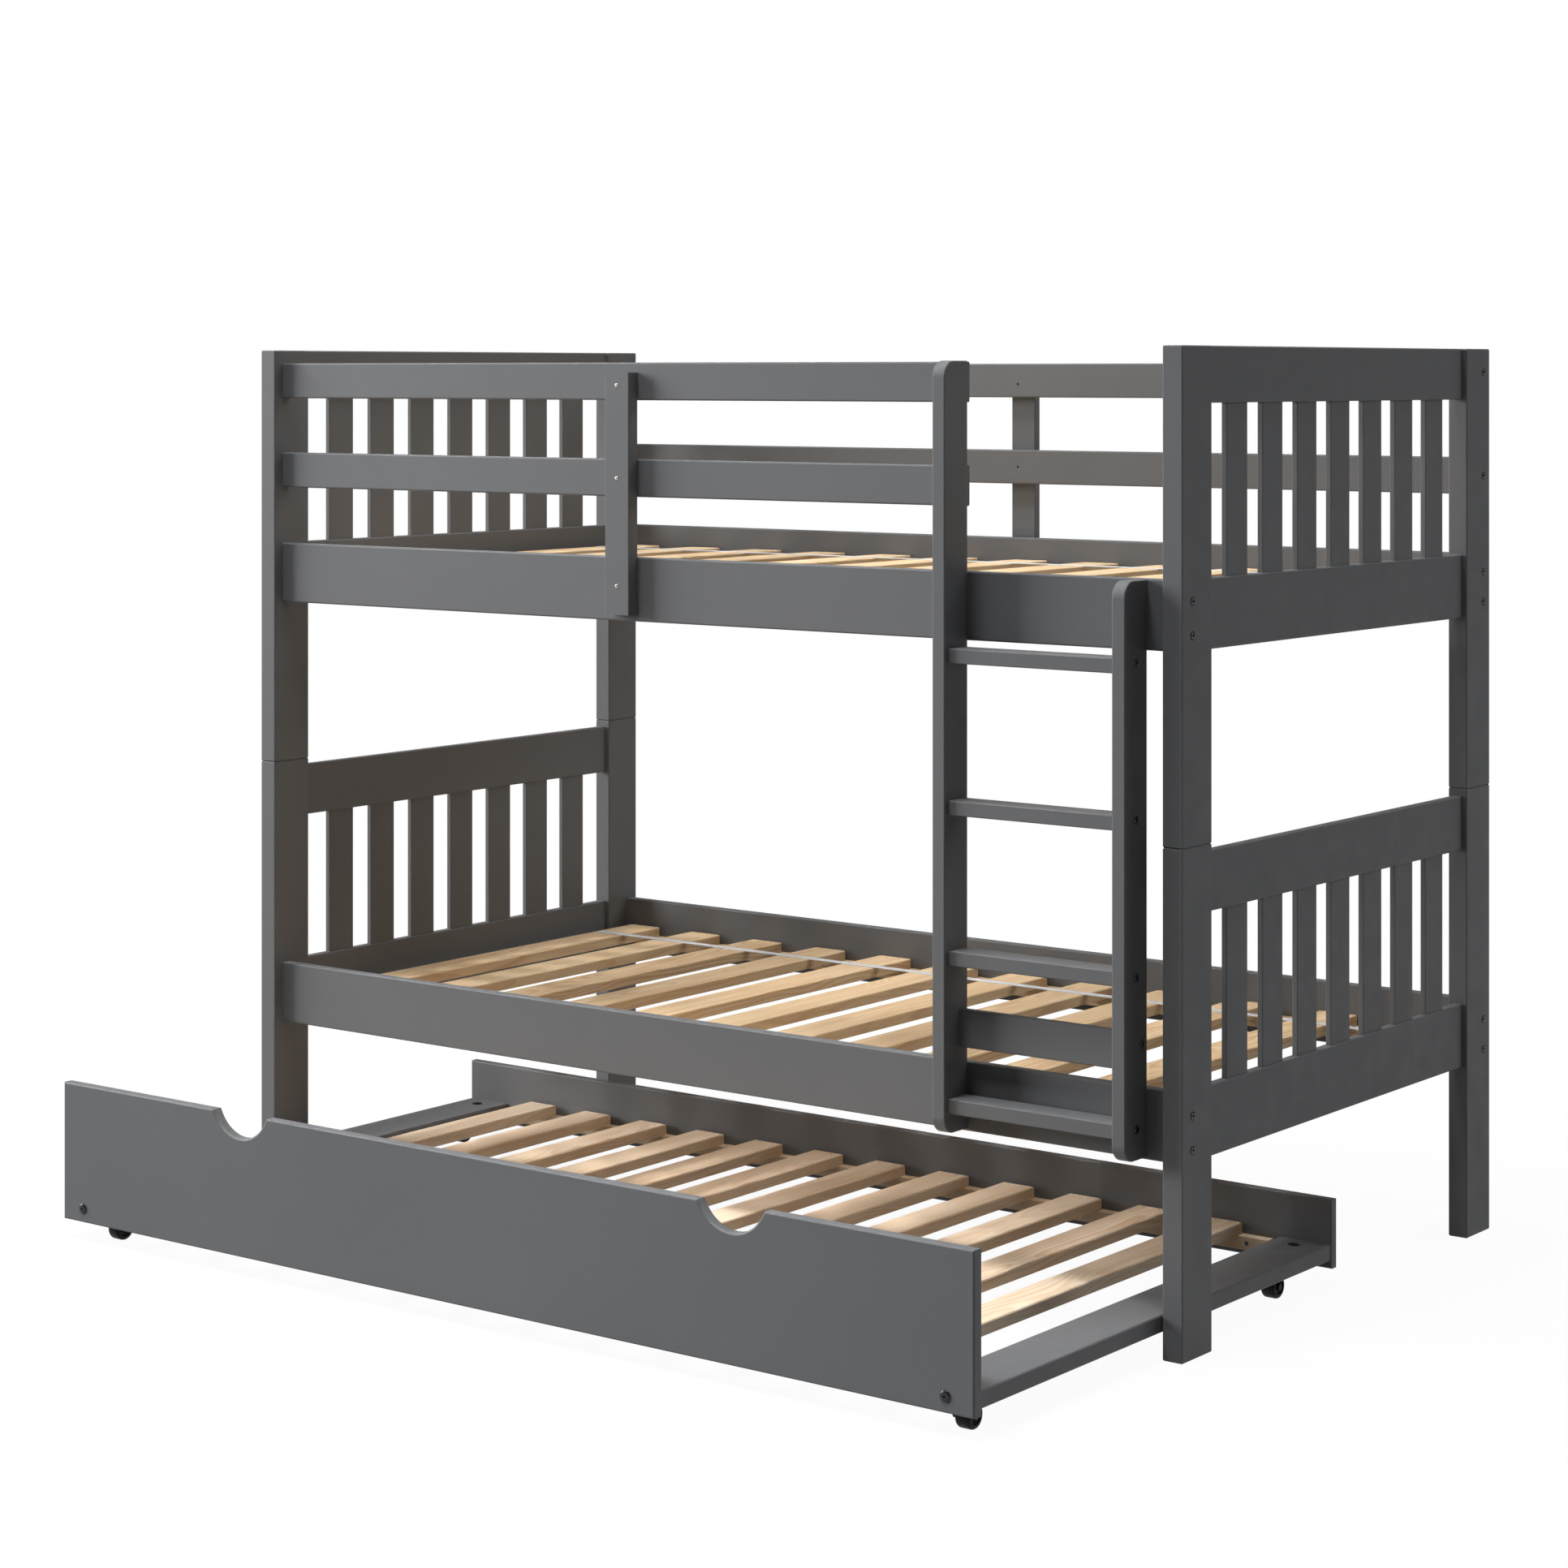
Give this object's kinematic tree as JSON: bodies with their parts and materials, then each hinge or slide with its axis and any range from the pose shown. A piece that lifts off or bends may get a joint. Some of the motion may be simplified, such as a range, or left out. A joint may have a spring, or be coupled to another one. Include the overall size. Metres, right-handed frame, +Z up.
{
  "type": "bunk bed with trundle",
  "caption": "Wooden bunk bed with slatted end panels, guard rails and a front ladder, over a low trundle bed on swivel casters; its pine slat decks are tied by webbing straps.",
  "frame": {"origin": "on the floor, in the middle of the part's box with the trundle drawn part of the way out", "axes": "+X along the bed towards the ladder end, +Y from the ladder side to the back, +Z up"},
  "size_m": [2.0252, 1.5946, 1.575],
  "materials": {
    "paint": "satin slate-grey paint",
    "pine": "bare sanded pine",
    "webbing": "flat woven webbing",
    "black_steel": "gloss black coating",
    "nickel": "warm nickel plate",
    "steel": "zinc-plated steel",
    "black_plastic": "moulded black plastic"
  },
  "bodies": {
    "bunk": {"back_guard_middle_rail": "paint", "back_guard_top_rail": "paint", "back_guard_upright": "paint", "cleat_screws": "black_steel", "deck_cleats": "pine", "deck_straps": "webbing", "front_guard_middle_rail": "paint", "front_guard_top_rail": "paint", "front_guard_upright": "paint", "ladder_bolts": "black_steel", "ladder_brace": "paint", "ladder_rungs": "paint", "ladder_stile_left": "paint", "ladder_stile_right": "paint", "lower_back_side_rail": "paint", "lower_deck_slats": "pine", "lower_front_side_rail": "paint", "lower_left_bottom_rail": "paint", "lower_left_panel_slats": "paint", "lower_left_top_rail": "paint", "lower_post_back_left": "paint", "lower_post_back_right": "paint", "lower_post_front_left": "paint", "lower_post_front_right": "paint", "lower_right_bottom_rail": "paint", "lower_right_panel_slats": "paint", "lower_right_top_rail": "paint", "post_pins": "steel", "rail_bolts": "black_steel", "rail_nuts": "steel", "upper_back_side_rail": "paint", "upper_deck_slats": "pine", "upper_front_side_rail": "paint", "upper_left_bottom_rail": "paint", "upper_left_panel_slats": "paint", "upper_left_top_rail": "paint", "upper_post_back_left": "paint", "upper_post_back_right": "paint", "upper_post_front_left": "paint", "upper_post_front_right": "paint", "upper_right_bottom_rail": "paint", "upper_right_panel_slats": "paint", "upper_right_top_rail": "paint", "upright_bolts": "nickel"},
    "trundle": {"trundle_front": "paint", "trundle_back": "paint", "trundle_end_board_left": "paint", "trundle_end_board_right": "paint", "trundle_cleats": "pine", "trundle_slats": "pine", "trundle_fixings": "black_steel", "caster_sockets": "steel"},
    "swivel_front_left": {"caster_arm_front_left": "black_steel"},
    "wheel_front_left": {"caster_wheel_front_left": "black_plastic"},
    "swivel_back_left": {"caster_arm_back_left": "black_steel"},
    "wheel_back_left": {"caster_wheel_back_left": "black_plastic"},
    "swivel_front_right": {"caster_arm_front_right": "black_steel"},
    "wheel_front_right": {"caster_wheel_front_right": "black_plastic"},
    "swivel_back_right": {"caster_arm_back_right": "black_steel"},
    "wheel_back_right": {"caster_wheel_back_right": "black_plastic"}
  },
  "joints": [
    {"name": "trundle_slide", "type": "slide", "parent": "bunk", "child": "trundle", "axis": [0, 1, 0], "range_m": [-0.57, 0.5175]},
    {"name": "swivel_front_left_turn", "type": "hinge", "parent": "trundle", "child": "swivel_front_left", "pos_m": [-0.906, -0.72045, 0.042], "axis": [0, 0, 1], "continuous": true},
    {"name": "wheel_front_left_spin", "type": "hinge", "parent": "swivel_front_left", "child": "wheel_front_left", "pos_m": [-0.8822, -0.74295, 0.02], "axis": [1, 0, 0], "continuous": true},
    {"name": "swivel_back_left_turn", "type": "hinge", "parent": "trundle", "child": "swivel_back_left", "pos_m": [-0.906, 0.17265, 0.042], "axis": [0, 0, 1], "continuous": true},
    {"name": "wheel_back_left_spin", "type": "hinge", "parent": "swivel_back_left", "child": "wheel_back_left", "pos_m": [-0.9298, 0.19515, 0.02], "axis": [1, 0, 0], "continuous": true},
    {"name": "swivel_front_right_turn", "type": "hinge", "parent": "trundle", "child": "swivel_front_right", "pos_m": [0.906, -0.72045, 0.042], "axis": [0, 0, 1], "continuous": true},
    {"name": "wheel_front_right_spin", "type": "hinge", "parent": "swivel_front_right", "child": "wheel_front_right", "pos_m": [0.9298, -0.74295, 0.02], "axis": [1, 0, 0], "continuous": true},
    {"name": "swivel_back_right_turn", "type": "hinge", "parent": "trundle", "child": "swivel_back_right", "pos_m": [0.906, 0.17265, 0.042], "axis": [0, 0, 1], "continuous": true},
    {"name": "wheel_back_right_spin", "type": "hinge", "parent": "swivel_back_right", "child": "wheel_back_right", "pos_m": [0.9298, 0.15015, 0.02], "axis": [1, 0, 0], "continuous": true}
  ]
}
